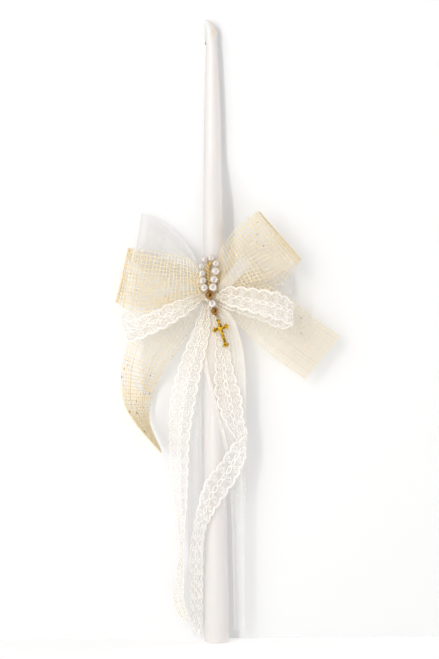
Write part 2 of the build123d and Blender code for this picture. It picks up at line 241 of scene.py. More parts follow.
LACE_LOOP_LEFT = (
    ((-2.6, -4.3, 1.4), (-2.6, -4.3, -1.4)),
    ((-6, -4.0, 2), (-6, -4.0, -2)),
    ((-12, -7, 0.5), (-10, -6, -7)),
    ((-26, -10, -3.5), (-20, -9, -15)),
    ((-43, -9, -11), (-36, -8, -24)),
    ((-57, -5, -16), (-50.5, -4, -30.5)),
    ((-64, 0, -13.5), (-58.5, 1, -32.5)),
    ((-58, 3.5, -10), (-52, 4, -28)),
    ((-41, 3.5, -10), (-35, 4, -24)),
    ((-23, 2, -7), (-19, 2.5, -15)),
    ((-6, 0.8, -2), (-6, 0.8, -5)),
)
LACE_LOOP_RIGHT = (
    ((2.6, -4.3, 1.4), (2.6, -4.3, -1.4)),
    ((6, -4.0, 2), (6, -4.0, -2)),
    ((13, -7, 7), (13, -6, -6.5)),
    ((30, -11, 6), (30, -10, -12)),
    ((48, -10, 3), (47, -9, -17)),
    ((57, -5, -2), (57.5, -4, -20.5)),
    ((59.5, 0, -6), (59.5, 1, -21.5)),
    ((53, 4, -9), (51, 5, -23.5)),
    ((37, 3.5, -3), (35, 4, -17)),
    ((15, 0.8, -3), (15, 0.8, -10)),
    ((6, 0.8, -2), (6, 0.8, -5)),
)
LACE_TAIL_LEFT = (
    ((-4, 0.9, -5.5), (-0.8, 0.9, -5.5)),
    ((-12.5, 2.4, -24), (0, 2.8, -24)),
    ((-23, 3, -50), (-5.5, 2.5, -50)),
    ((-29, 6, -74), (-10.5, 5, -74)),
    ((-30.5, 9, -100), (-15, 6, -100)),
    ((-30, 12, -124), (-16.5, 5, -124)),
    ((-28.4, 14, -144), (-17.3, 3, -144)),
    ((-25.5, 15, -164), (-19, 1, -164)),
    ((-23.7, 15, -185), (-20.6, 0, -185)),
    ((-27, 14, -205), (-20.3, 0, -205)),
    ((-29, 12, -221), (-20, 1, -219)),
    ((-21, 10, -236), (-15.5, 1, -232)),
)
LACE_TAIL_RIGHT = (
    ((0.4, -0.3, -5.5), (3.8, -0.3, -5.2)),
    ((1.5, 1.6, -10.5), (7, 1.6, -10)),
    ((3.5, 2.2, -24), (12.5, 2.4, -24)),
    ((3.5, 2.2, -45), (15.5, 2.6, -47)),
    ((2.5, 2.4, -62), (19.5, 2.7, -62)),
    ((4, 2.4, -75), (22.5, 2.8, -71)),
    ((9, 2.4, -89), (23.5, 2.8, -85.5)),
    ((16, 2.6, -100.5), (24.5, 3, -93)),
    ((24.5, 2.4, -113), (26, 2.6, -99)),
    ((23, 1.2, -121), (16, 1.2, -105.5)),
    ((17, 1.4, -133.5), (6.5, 1.4, -119)),
    ((4.5, 1.8, -151.5), (-5, 1.8, -134)),
    ((-2.5, 2.4, -163.5), (-11.5, 5.5, -158)),
    ((-5.6, 4.2, -176), (-15, 8.5, -176)),
    ((-6.3, 6, -192), (-16.6, 10, -192)),
    ((-6.6, 7, -205), (-17.2, 10, -205)),
    ((-6.9, 8, -225), (-16.6, 9, -225)),
    ((-7.5, 8, -244), (-15, 9, -241)),
)
TULLE_LOOP_LEFT = (
    ((-6.5, 5.8, 6.5), (-6.5, 5.8, 0.5)),
    ((-11.5, 11.5, 31), (-19, 12, 12)),
    ((-27, 17.5, 49.5), (-39, 18, 18)),
    ((-42, 18, 60), (-51, 18.5, 23)),
    ((-51, 19.5, 62), (-55, 20, 27)),
    ((-41, 21.5, 59), (-51, 22, 22)),
    ((-26, 21, 47), (-38, 21.5, 16)),
    ((-10.5, 15, 30), (-17, 15.5, 11)),
    ((-7.2, 9, 6), (-7.2, 9, 1)),
)
TULLE_LOOP_RIGHT = (
    ((12, 9.4, 6), (12, 9.4, 0)),
    ((23, 13, 16), (23, 13.5, 0)),
    ((43, 17.5, 21), (44, 18, -1)),
    ((59, 19, 18.5), (61.5, 19.5, 2.5)),
    ((43, 21, 20), (44, 21.5, -1.5)),
    ((23, 17, 15), (23, 17.5, -1)),
    ((12.8, 12.5, 6), (12.8, 12.5, 0)),
)
TULLE_TAIL_LEFT = (
    ((-6.3, 4.2, -5.5), (-3.5, 4.2, -5.5)),
    ((-12, 7.5, -24), (-6.5, 7, -24)),
    ((-16, 9.5, -50), (-7, 8.5, -50)),
    ((-17.5, 11.5, -90), (-7, 10.5, -90)),
    ((-17.5, 12.5, -147), (-7, 12, -147)),
    ((-16.5, 16, -190), (-7, 16, -190)),
    ((-14.5, 16, -246), (-6.6, 16, -246)),
)
TULLE_TAIL_RIGHT = (
    ((-2.5, 2.8, -6), (5, 2.8, -5.5)),
    ((-5.5, 3.7, -18), (16, 3.7, -14)),
    ((-6.2, 3.8, -35), (23, 4.5, -34.5)),
    ((-5, 3.8, -50), (25, 5, -50)),
    ((-1, 3.7, -64), (25.5, 6, -64)),
    ((3, 3.5, -80), (25.5, 7, -82)),
    ((8, 4, -100), (25.3, 8, -100)),
    ((12, 6, -120), (25, 9, -120)),
    ((14, 8, -150), (24.5, 10, -150)),
    ((15, 8.5, -195), (24, 10.5, -195)),
    ((15.3, 9, -241), (23.8, 11, -241.5)),
)

# The gold cord's middle line, in millimetres in the frame
GOLD_CORD_ROUTE = (
    (-3.0, -16.0, 254.2),
    (-3.7, -14.0, 260.0),
    (-4.3, -11.8, 267.0),
    (-4.0, -10.6, 272.0),
    (-1.5, -10.0, 274.5),
    (1.8, -10.2, 272.4),
)

# The fold of the right tulle loop that stands out beside the pearls
TULLE_FOLD = (
    ((5.5, -3.5, 6.5), (6.5, -3.5, 1.5)),
    ((8, -5.5, 10.5), (13, -6, 5)),
    ((13.5, -6.5, 17.5), (19, -7, 11)),
    ((20, -6.5, 25), (25.5, -6.5, 18.5)),
    ((26, -4, 31), (31, -4, 25)),
)


# ---------------------------------------------------------------- materials


def new_material(name, **sockets):
    """A material, its Principled shader and its fixed numbers set on the shader's own sockets."""
    made = bpy.data.materials.new(name)
    made.use_nodes = True
    shader = made.node_tree.nodes["Principled BSDF"]
    for socket, value in sockets.items():
        shader.inputs[socket.replace("_", " ")].default_value = value
    return made, shader


def add_node(owner, kind, inputs=None, **settings):
    """One node in a material or world; inputs maps each input to a value or to another node's output."""
    made = owner.node_tree.nodes.new(kind)
    for name, value in settings.items():
        setattr(made, name, value)
    for name, value in (inputs or {}).items():
        if isinstance(value, bpy.types.NodeSocket):
            owner.node_tree.links.new(value, made.inputs[name])
        else:
            made.inputs[name].default_value = value
    return made


def join(owner, output, target):
    """Link one node's output to another's input."""
    owner.node_tree.links.new(output, target)


def ramp(material, factor, *stops):
    """A colour ramp; each stop is a place and a colour."""
    made = add_node(material, "ShaderNodeValToRGB", {"Fac": factor})
    bar = made.color_ramp.elements
    while len(bar) < len(stops):
        bar.new(0.5)
    for element, (place, colour) in zip(bar, stops):
        element.position = place
        element.color = (*colour, 1)
    return made.outputs["Color"]


def object_place(material):
    """The place on the object, in its own metres."""
    return add_node(material, "ShaderNodeTexCoord").outputs["Object"]


def noise(material, scale, detail=3, roughness=0.5, vector=None):
    """Noise in the object's own metres; scale is in features per metre."""
    if vector is None:
        vector = object_place(material)
    inputs = {"Vector": vector, "Scale": scale, "Detail": detail, "Roughness": roughness}
    return add_node(material, "ShaderNodeTexNoise", inputs).outputs["Fac"]


def maths(material, operation, first, second=0.0, third=0.0):
    """One step of arithmetic on numbers or outputs."""
    made = add_node(material, "ShaderNodeMath", {0: first, 1: second, 2: third}, operation=operation)
    return made.outputs[0]


def bump(material, shader, height, distance, strength=1.0):
    """Raise the surface by a height output."""
    inputs = {"Height": height, "Distance": distance, "Strength": strength}
    join(material, add_node(material, "ShaderNodeBump", inputs).outputs["Normal"], shader.inputs["Normal"])


def mixed(material, factor, first, second):
    """A colour between two colours or colour outputs."""
    made = add_node(material, "ShaderNodeMix", data_type="RGBA")
    targets = (made.inputs["Factor"], made.inputs[6], made.inputs[7])
    for target, value in zip(targets, (factor, first, second)):
        if isinstance(value, bpy.types.NodeSocket):
            join(material, value, target)
        elif isinstance(value, tuple):
            target.default_value = (*value, 1)
        else:
            target.default_value = value
    return made.outputs[2]


def patch(material, centre, size, noise_scale):
    """A ragged-edged spot about a place in the object: 1 inside it and 0 outside."""
    scale = tuple(1 / s for s in size)
    shift = tuple(-c / s for c, s in zip(centre, size))
    inputs = {"Vector": object_place(material), "Location": shift, "Scale": scale}
    local = add_node(material, "ShaderNodeMapping", inputs).outputs["Vector"]
    reach = add_node(material, "ShaderNodeVectorMath", {0: local}, operation="LENGTH").outputs["Value"]
    ragged = maths(material, "MULTIPLY_ADD", noise(material, noise_scale), 0.8, reach)
    inputs = {"Value": ragged, "From Min": 1.5, "From Max": 0.9}
    return add_node(material, "ShaderNodeMapRange", inputs).outputs["Result"]


def wax_material():
    """Dipped wax: satin, a little translucent, faintly clouded, with the tip's thin fin and tan stain."""
    wax, shader = new_material(
        "wax",
        Roughness=0.5,
        Subsurface_Weight=0.6,
        Subsurface_Scale=6 * MM,
        Subsurface_Radius=(1.0, 0.75, 0.6),
        Coat_Weight=0.6,
        Coat_Roughness=0.08,
    )
    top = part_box("candle_body")[1].z
    inputs = {"Vector": object_place(wax), "Scale": (1, 1, 0.12)}
    drawn = add_node(wax, "ShaderNodeMapping", inputs).outputs["Vector"]
    colour = ramp(wax, noise(wax, 60, 4, 0.6, drawn), (0.3, WAX_SHADE), (0.7, WAX_COLOUR))
    fin = patch(wax, (-5.0 * MM, 0, top - 6 * MM), (4.5 * MM, 10 * MM, 15 * MM), 300)
    colour = mixed(wax, maths(wax, "MULTIPLY", fin, 0.7), colour, WAX_FIN)
    stain = patch(wax, (1.2 * MM, -4 * MM, top - 9 * MM), (2.2 * MM, 4 * MM, 5 * MM), 400)
    colour = mixed(wax, maths(wax, "MULTIPLY", stain, 0.6), colour, WAX_STAIN)
    join(wax, colour, shader.inputs["Base Color"])
    bump(wax, shader, noise(wax, 700, 3, 0.6, drawn), 0.04 * MM, 0.5)
    return wax


def thread_material(name, stops, speck, roughness=0.85, sheen=0.25):
    """Spun thread: its tone attribute picks the colour, and fine noise adds its fibres."""
    made, shader = new_material(name, Roughness=roughness, Sheen_Weight=sheen)
    tone = add_node(made, "ShaderNodeAttribute", attribute_name="tone").outputs["Fac"]
    fibres = noise(made, 4000, 2)
    mottled = maths(made, "MULTIPLY_ADD", fibres, 0.5, tone)
    colour = ramp(made, maths(made, "SUBTRACT", mottled, 0.25), *stops)
    dark = maths(made, "LESS_THAN", tone, -0.5)
    join(made, mixed(made, dark, colour, speck), shader.inputs["Base Color"])
    bump(made, shader, fibres, 0.08 * MM, 0.6)
    return made


def net_material(name, stops, pitch, line, cover, warm_cover, flowers=False):
    """Fine diamond net on a strip's UV map, which is in metres, with see-through holes.

    The tone attribute picks the colour from the stops, which carry painted light and shade, and
    warm_cover is how much closer the net is where its tone is low, by the knot. With flowers, the net is
    closer outside each scallop's ring.
    """
    made, shader = new_material(name, Roughness=0.7, Sheen_Weight=0.15)
    where = add_node(made, "ShaderNodeUVMap", uv_map="cloth").outputs["UV"]
    parts = add_node(made, "ShaderNodeSeparateXYZ", {"Vector": where})
    x, y = parts.outputs["X"], parts.outputs["Y"]
    turn = math.pi / pitch
    lines = []
    for joined in (maths(made, "ADD", x, y), maths(made, "SUBTRACT", x, y)):
        wave = maths(made, "SINE", maths(made, "MULTIPLY", joined, turn))
        lines.append(maths(made, "ABSOLUTE", wave))
    yarn = maths(made, "LESS_THAN", maths(made, "MINIMUM", *lines), line)
    least = maths(made, "MULTIPLY_ADD", noise(made, 90, 3), cover, cover / 2)
    tone = add_node(made, "ShaderNodeAttribute", attribute_name="tone").outputs["Fac"]
    least = maths(made, "ADD", least, maths(made, "MULTIPLY_ADD", tone, -warm_cover, warm_cover))
    if flowers:
        from_flower = maths(made, "SUBTRACT", maths(made, "ABSOLUTE", x), LACE_FLOWER)
        along = maths(made, "SUBTRACT", maths(made, "MODULO", y, LACE_REPEAT), LACE_REPEAT / 2)
        squares = maths(made, "ADD", maths(made, "POWER", from_flower, 2), maths(made, "POWER", along, 2))
        ground = maths(made, "GREATER_THAN", squares, LACE_RING**2)
        least = maths(made, "MULTIPLY_ADD", ground, GROUND_COVER, least)
    join(made, maths(made, "MAXIMUM", yarn, least), shader.inputs["Alpha"])
    mottled = maths(made, "MULTIPLY_ADD", noise(made, 300, 3), 0.3, tone)
    join(made, ramp(made, maths(made, "SUBTRACT", mottled, 0.15), *stops), shader.inputs["Base Color"])
    return made


def metal_material(name, colour, pit_colour, roughness, pit_size):
    """Polished metal with darker, duller pits."""
    made, shader = new_material(name, Metallic=1.0)
    pits = noise(made, pit_size, 3, 0.6)
    join(made, ramp(made, pits, (0.36, pit_colour), (0.52, colour)), shader.inputs["Base Color"])
    inputs = {"Value": pits, "To Min": roughness + 0.25, "To Max": roughness}
    join(made, add_node(made, "ShaderNodeMapRange", inputs).outputs["Result"], shader.inputs["Roughness"])
    bump(made, shader, pits, 0.01 * MM, 0.7)
    return made


def cast_material():
    """Cast gold: bright on the raised studs and buds, tarnished in the pits and on the plate's face."""
    made, shader = new_material("cast_gold", Metallic=0.5, Roughness=0.3)
    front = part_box("cross_pendant")[0].y
    depth = add_node(made, "ShaderNodeSeparateXYZ", {"Vector": object_place(made)}).outputs["Y"]
    limits = {"From Min": front + 0.3 * MM, "From Max": front + 0.9 * MM, "To Min": 0.25, "To Max": -0.05}
    raised = add_node(made, "ShaderNodeMapRange", {"Value": depth, **limits}).outputs["Result"]
    pits = noise(made, 750, 2, 0.6)
    level = maths(made, "ADD", pits, raised)
    join(made, ramp(made, level, (0.44, GOLD_TARNISH), (0.50, GOLD_BRIGHT)), shader.inputs["Base Color"])
    bump(made, shader, pits, 0.15 * MM, 0.8)
    return made


def pearl_material():
    """Imitation pearl: a milky body under a bright lustre, with painted shade, warm and darker, towards its
    rim.
    """
    made, shader = new_material("pearl", Roughness=0.14, Metallic=0.5, Coat_Weight=0.5, Coat_Roughness=0.04)
    # Painted shade: the colour turns warm and darker towards the rim, where the pearl's surface turns away
    # from the view.
    rim = add_node(made, "ShaderNodeLayerWeight", {"Blend": 0.5}).outputs["Facing"]
    body = ramp(made, noise(made, 350, 3), (0.35, PEARL_WARM), (0.65, PEARL_COLOUR))
    join(made, mixed(made, rim, body, PEARL_RIM_SHADE), shader.inputs["Base Color"])
    bump(made, shader, noise(made, 1500, 2), 0.02 * MM, 0.2)
    return made


# ---------------------------------------------------------------- shapes


def smooth_rows(rows, steps):
    """Rows of points joined by uniform Catmull-Rom spans, steps to each span."""
    rows = np.asarray(rows, float)
    padded = np.concatenate([[2 * rows[0] - rows[1]], rows, [2 * rows[-1] - rows[-2]]])
    out = []
    for i in range(len(rows) - 1):
        p0, p1, p2, p3 = padded[i : i + 4]
        for t in np.arange(steps) / steps:
            out.append(
                0.5 * (2 * p1 + (p2 - p0) * t + (2 * p0 - 5 * p1 + 4 * p2 - p3) * t**2
                       + (3 * p1 - p0 - 3 * p2 + p3) * t**3)
            )
    out.append(rows[-1])
    return np.array(out)


def lengths_along(line):
    """How far along a line each of its points is."""
    return np.concatenate([[0], np.cumsum(np.linalg.norm(np.diff(line, axis=0), axis=1))])


def unit(v):
    """Vectors scaled to a length of 1."""
    return v / np.maximum(np.linalg.norm(v, axis=-1, keepdims=True), 1e-12)


def slow_wave(x, scale, seed):
    """A smooth wandering number between about -1 and 1 for each x; scale is its length in x's units."""
    phases = np.random.default_rng(seed).uniform(0, 2 * math.pi, 3)
    return sum(np.sin(x / scale * f + p) * w for f, p, w in zip((1, 2.3, 4.1), phases, (0.6, 0.3, 0.15)))


class Strip:
    """A strip of cloth laid smoothly through stations, each of which gives its two edges."""

    def __init__(self, stations, flat_width, pleats, ripple, seed, gathered=GATHERED):
        edges = smooth_rows(np.array(stations, float) * MM + KNOT, STATION_STEPS)
        self.middle = edges.mean(axis=1)
        self.across = edges[:, 1] - edges[:, 0]
        self.run = lengths_along(self.middle)
        self.length = self.run[-1]
        self.width = np.linalg.norm(self.across, axis=1)
        self.normal = unit(np.cross(self.across, np.gradient(self.middle, axis=0)))
        self.flat_width = flat_width
        self.pleats = pleats
        self.gathered = gathered
        self.ripple = ripple
        self.seed = seed

    def read(self, table, s):
        """A table of points or directions, read at s metres along."""
        return np.stack([np.interp(s, self.run, table[:, i]) for i in range(3)], axis=-1)

    def squeezed(self, s):
        """How much thinner threads are drawn where the strip is gathered."""
        return np.clip(np.interp(s, self.run, self.width) / self.flat_width, THINNEST, 1)

    def place(self, u, s, lift=0.0):
        """Points at u across, from -0.5 to 0.5, and s metres along, and the cloth's direction out."""
        u, s = np.broadcast_arrays(np.asarray(u, float), np.asarray(s, float))
        width = np.interp(s, self.run, self.width)
        spare = np.maximum(self.gathered * self.flat_width / width - 1, 0)
        depth = np.minimum(width / (math.pi * self.pleats) * np.sqrt(spare), PLEAT_DEPTH)
        fold = depth * np.sin(2 * math.pi * self.pleats * u + slow_wave(s, 0.03, self.seed))
        wander = self.ripple * slow_wave(s + 0.02 * u, 0.012, self.seed + 1)
        out = unit(self.read(self.normal, s))
        lift = fold + wander + lift
        sideways = self.read(self.across, s) * u[..., None]
        return self.read(self.middle, s) + sideways + out * lift[..., None], out


class Tubes:
    """Many thin closed tubes gathered into one mesh, with a tone at each point.

    For each tube, out is a direction away from the cloth, flat is how thick the tube is that way
    against its width, and radius and tone are numbers or one per point.
    """

    def __init__(self, sides=5):
        self.sides = sides
        self.points, self.faces, self.tones = [], [], []
        self.count = 0

    def rings(self, path, along, out, radius, tone, flat):
        """A ring of points round each point of a path; returns the number of each ring's first point."""
        out = np.broadcast_to(out, path.shape)
        out = unit(out - along * np.sum(out * along, axis=1, keepdims=True))
        side = np.cross(along, out)
        angle = np.arange(self.sides) * 2 * math.pi / self.sides
        radius = np.broadcast_to(radius, len(path))[:, None, None]
        ring = side[:, None] * np.cos(angle)[:, None] + flat * out[:, None] * np.sin(angle)[:, None]
        self.points.append((path[:, None] + radius * ring).reshape(-1, 3))
        self.tones.append(np.repeat(np.broadcast_to(tone, len(path)), self.sides))
        firsts = self.count + np.arange(len(path)) * self.sides
        self.count += len(path) * self.sides
        return firsts

    def skin(self, here, there):
        """Quads from the rings that start at here to the rings that start at there."""
        here, there = here[:, None], there[:, None]
        j, k = np.arange(self.sides), (np.arange(self.sides) + 1) % self.sides
        quads = np.stack([here + j, here + k, there + k, there + j], axis=-1)
        self.faces += quads.reshape(-1, 4).tolist()

    def add(self, path, out, radius, tone=0.5, flat=1.0):
        """One tube along a path, closed at both ends."""
        path = np.asarray(path, float)
        firsts = self.rings(path, unit(np.gradient(path, axis=0)), out, radius, tone, flat)
        self.skin(firsts[:-1], firsts[1:])
        start, end = int(firsts[0]), int(firsts[-1])
        self.faces.append(list(range(start, start + self.sides))[::-1])
        self.faces.append(list(range(end, end + self.sides)))

    def loop(self, path, out, radius, tone=0.5, flat=1.0):
        """One tube round a ring of points."""
        path = np.asarray(path, float)
        along = unit(np.roll(path, -1, axis=0) - np.roll(path, 1, axis=0))
        firsts = self.rings(path, along, out, radius, tone, flat)
        self.skin(firsts, np.roll(firsts, -1))

    def mesh(self, name, material):
        """All the tubes as one mesh object."""
        return new_mesh(name, np.concatenate(self.points), self.faces, material, np.concatenate(self.tones))


def new_mesh(name, points, faces, material, tone=None, uv=None):
    """A smooth-shaded mesh object with an optional tone for each point and a UV map in metres."""
    mesh = bpy.data.meshes.new(name)
    mesh.from_pydata(np.asarray(points).tolist(), [], faces)
    mesh.polygons.foreach_set("use_smooth", np.ones(len(mesh.polygons), bool))
    if tone is not None:
        mesh.attributes.new("tone", "FLOAT", "POINT").data.foreach_set("value", tone.astype(np.float32))
    if uv is not None:
        layer = mesh.uv_layers.new(name="cloth")
        corner = np.zeros(len(mesh.loops), np.int32)
        mesh.loops.foreach_get("vertex_index", corner)
        layer.data.foreach_set("uv", np.asarray(uv, np.float32)[corner].ravel())
    mesh.materials.append(material)
    return new_object(name, mesh)


def new_object(name, data):
    """An object in the scene that holds a mesh, light or camera."""
    made = bpy.data.objects.new(name, data)
    bpy.context.scene.collection.objects.link(made)
    return made


def grid_faces(rows, columns):
    """Quads of a grid of points, row by row."""
    i, j = np.meshgrid(np.arange(rows - 1), np.arange(columns - 1), indexing="ij")
    a = i * columns + j
    return np.stack([a, a + 1, a + columns + 1, a + columns], axis=-1).reshape(-1, 4).tolist()


def stands_for(piece, node, body=ROOT):
    """The piece rides on a body and takes a CAD node's place, hiding the node."""
    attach(piece, body)
    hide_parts(node)
    return piece


# ---------------------------------------------------------------- cloth


def crossings(length, near, far):
    """Where the cross threads lie along a strip, near apart at the knot and far apart at its end."""
    places = [0.0]
    while places[-1] < length - far / 2:
        places.append(places[-1] + near + (far - near) * (places[-1] / length) ** 2)
    return np.array(places) * length / places[-1]


def leaning(strip, u, s, leans):
    """Where threads lie across a strip; one that leans is gathered up towards its first edge."""
    width = np.interp(s, strip.run, strip.width)
    return u ** (np.maximum(strip.flat_width / width, 1) if leans else 1.0) - 0.5


def jute_tone_with_painted_light(points):
    """The tone of jute: paler and creamier near the knot, which is painted light standing in for the light
    among the gathered threads there, and more tan away from it.
    """
    return 0.8 - 0.4 * np.clip(np.linalg.norm(points - KNOT, axis=-1) / PAINTED_LIGHT_REACH, 0, 1)


def weave(count, first):
    """How far a thread rises and dips as it passes over and under those that cross it."""
    places = np.arange(count)
    return BURLAP_CRIMP * np.cos(places * math.pi / 2) ** 2 * np.where(places // 2 % 2, -first, first)


def burlap(name, stations, seed, near, far, leans=False):
    """Open plain weave: single threads, over and under each other, with frayed edges and flecks."""
    strip = Strip(stations, BURLAP_WIDTH, BURLAP_PLEATS, BURLAP_RIPPLE, seed)
    draw = np.random.default_rng(seed)
    rows = crossings(strip.length, near, far)
    tubes = Tubes()

    s = np.interp(np.arange(2 * len(rows) - 1) / 2, np.arange(len(rows)), rows)
    for i in range(BURLAP_CELLS + 1):
        u = leaning(strip, i / BURLAP_CELLS, s, leans) + LONG_SWAY * slow_wave(s, 0.02, seed * 50 + i)
        points, out = strip.place(u, s, weave(len(s), 1) * (-1) ** i)
        slub = strip.squeezed(s) * (1 + SLUB * slow_wave(s, 0.008, seed * 70 + i))
        # Painted light: the jute's tone is paler near the knot.
        tone = jute_tone_with_painted_light(points) + 0.07 * draw.standard_normal() + 0.1 * slow_wave(s, 0.03, seed * 90 + i)
        tone[draw.random(len(s)) < FLECKS] = -1
        tubes.add(points, out, BURLAP_THREAD * slub, tone, BURLAP_ROUND)

    across = 2 * BURLAP_CELLS + 1
    for j, place in enumerate(rows):
        u = leaning(strip, np.linspace(0, 1, across), place, leans)
        u[0] -= FRAY + FRAY_SPREAD * draw.random()
        u[-1] += FRAY + FRAY_SPREAD * draw.random()
        drift = CROSS_DRIFT * draw.standard_normal()
        drift = drift + CROSS_SWAY * slow_wave(u * BURLAP_WIDTH, 0.015, seed * 30 + j)
        here = np.clip(place + drift, 0, strip.length)
        points, out = strip.place(u, here, weave(across, -1) * (-1) ** j)
        slub = 0.92 + SLUB * slow_wave(u * BURLAP_WIDTH, 0.008, seed * 40 + j)
        # Painted light: the jute's tone is paler near the knot.
        tone = jute_tone_with_painted_light(points) + 0.07 * draw.standard_normal()
        tone[draw.random(across) < FLECKS] = -1
        tubes.add(points, out, BURLAP_THREAD * slub, tone, BURLAP_ROUND)

    for _ in range(HAIRS):
        start, turn = draw.uniform(-0.5, 0.5), draw.uniform(0, 2 * math.pi)
        reach = draw.uniform(*HAIR_LENGTHS) * MM
        t = np.linspace(0, 1, 5)
        bend = turn + draw.uniform(-1.2, 1.2) * t
        u = start + np.cumsum(np.cos(bend)) / 5 * reach / BURLAP_WIDTH
        here = np.clip(draw.uniform(0, strip.length) + np.cumsum(np.sin(bend)) / 5 * reach, 0, strip.length)
        points, out = strip.place(u, here, 0.3 * MM + 0.8 * MM * t * draw.uniform(-0.6, 1))
        tubes.add(points, out, HAIR_THREAD, 0.5 + 0.2 * draw.standard_normal())

    piece = stands_for(tubes.mesh(name + "_weave", JUTE), name)


def scallop(y):
    """How far the lace's edge stands from its middle at a place along it."""
    part = (y / LACE_REPEAT) % 1
    return LACE_WIDTH / 2 - LACE_SCALLOP * (1 - np.sqrt(np.clip(1 - (2 * part - 1) ** 2, 0, 1)))


def lace(name, stations, seed, tones, gathered=GATHERED):
    """Scalloped lace: a fine net, corded edges, a flower in every scallop and a chain of ovals.

    tones are its warmth at the knot, halfway and at its end, from 0, cream, to 1, white; the cream at the
    knot is painted warm light bounced among the gathered threads.
    """
    strip = Strip(stations, LACE_WIDTH, LACE_PLEATS, LACE_RIPPLE, seed, gathered)
    cords = Tubes()

    def on(x, y, lift=0.0):
        """Points at x metres from the lace's middle and y metres along it."""
        return strip.place(np.asarray(x) / LACE_WIDTH, np.clip(y, 0, strip.length), lift)

    def tone(y):
        return np.interp(y, (0, strip.length / 2, strip.length), tones)

    repeats = int(math.ceil(strip.length / LACE_REPEAT))
    for side in (-1, 1):
        y = np.linspace(0, strip.length, repeats * 12 + 1)
        for inset, radius in EDGE_CORDS:
            points, out = on(side * (scallop(y) - inset), y)
            cords.add(points, out, radius * strip.squeezed(y), tone(y) + 0.1, LACE_CORD_FLAT)
        for k in range(repeats):
            if (k + 0.5) * LACE_REPEAT < strip.length:
                flower(cords, on, side * LACE_FLOWER, (k + 0.5) * LACE_REPEAT, tone(k * LACE_REPEAT))
    for k in range(int(strip.length / LACE_OVAL)):
        turn = np.arange(12) * math.pi / 6
        place = (k + 0.5) * LACE_OVAL
        points, out = on(OVAL_HALF_WIDTH * np.cos(turn), place + OVAL_HALF_LENGTH * np.sin(turn))
        cords.loop(points, out, OVAL_CORD * strip.squeezed(place), tone(k * LACE_OVAL) + 0.1, LACE_CORD_FLAT)
    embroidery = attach(cords.mesh(name + "_cords", LACE_THREAD), ROOT)

    along, cross = repeats * 8 + 1, 17
    y = np.linspace(0, strip.length, along)
    x = np.linspace(-1, 1, cross)[None] * scallop(y)[:, None]
    points, _ = on(x, y[:, None])
    uv = np.stack(np.broadcast_arrays(x, y[:, None]), axis=-1).reshape(-1, 2)
    tones_here = np.repeat(tone(y), cross)
    net = new_mesh(name + "_net", points.reshape(-1, 3), grid_faces(along, cross), LACE_NET_PAINTED_SHADE, tones_here, uv)
    stands_for(net, name)


def flower(cords, on, x, y, tone):
    """Eight petals round a small open middle."""
    for k in range(8):
        angle = (k + 0.5) * math.pi / 4
        points, out = on(x + PETAL_PLACES * np.cos(angle), y + PETAL_PLACES * np.sin(angle), 0.1 * MM)
        cords.add(points, out, PETAL_THREAD, tone + 0.15, LACE_CORD_FLAT)


def tulle(name, stations, seed, folds, flat_width, tones, in_cad=True):
    """Sheer net in soft pleats that lie over each other along its length.

    A fold that isn't in CAD replaces no node.
    """
    strip = Strip(stations, flat_width, 1, 0.0, seed)
    along, cross = max(24, round(strip.length / TULLE_STEP)), folds * 16 + 1
    s = np.linspace(0, strip.length, along)[:, None]
    v = np.linspace(0, 1, cross)[None]
    drift = TULLE_DRIFT * slow_wave(s, 0.05, seed)
    phase = 2 * math.pi * folds * v + drift
    u = v - 0.5 + FOLD_LAP / (2 * math.pi * folds) * (np.sin(phase) - np.sin(drift))
    u = np.clip(u, -0.5, 0.5)
    width = np.interp(s, strip.run, strip.width)
    lift = FOLD_DEPTH * np.minimum(width / FOLD_WIDTH, 1) * np.cos(phase)
    lift = lift + FOLD_RIPPLE * slow_wave(s + 0.03 * v, 0.02, seed + 3)
    middle = strip.read(strip.middle, s[:, 0])[:, None]
    spread = strip.read(strip.across, s[:, 0])[:, None]
    out = unit(strip.read(strip.normal, s[:, 0]))[:, None]
    points = middle + spread * u[..., None] + out * lift[..., None]
    uv = np.stack(np.broadcast_arrays(v * flat_width, s), axis=-1).reshape(-1, 2)
    tone = np.repeat(np.interp(s[:, 0], (0, strip.length / 2, strip.length), tones), cross)
    piece = new_mesh(name + "_veil", points.reshape(-1, 3), grid_faces(along, cross), TULLE_NET_PAINTED_LIGHT, tone, uv)
    if in_cad:
        stands_for(piece, name)
    else:
        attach(piece, ROOT)


# ---------------------------------------------------------------- knot, band and trims


def band_stations():
    """The band's two edges round the candle, open at the front, in millimetres from the knot's centre."""
    low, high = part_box("lace_band")
    half = (high.z - low.z) / 2
    rows = []
    for turn in np.linspace(-BAND_REACH, BAND_REACH, 13):
        x, y = BAND_RADIUS * math.sin(turn), BAND_RADIUS * math.cos(turn)
        edges = [np.array((x, y, KNOT[2] + up)) - KNOT for up in (half, -half)]
        rows.append([edge / MM for edge in edges])
    return rows


def wheel(x, radius, turn):
    """Points about the knot's centre, turned about its length, and the way out from it."""
    spoke = np.stack([0 * turn, np.sin(turn), np.cos(turn)], axis=-1)
    return KNOT + np.stack([x, radius * np.sin(turn), radius * np.cos(turn)], axis=-1), spoke


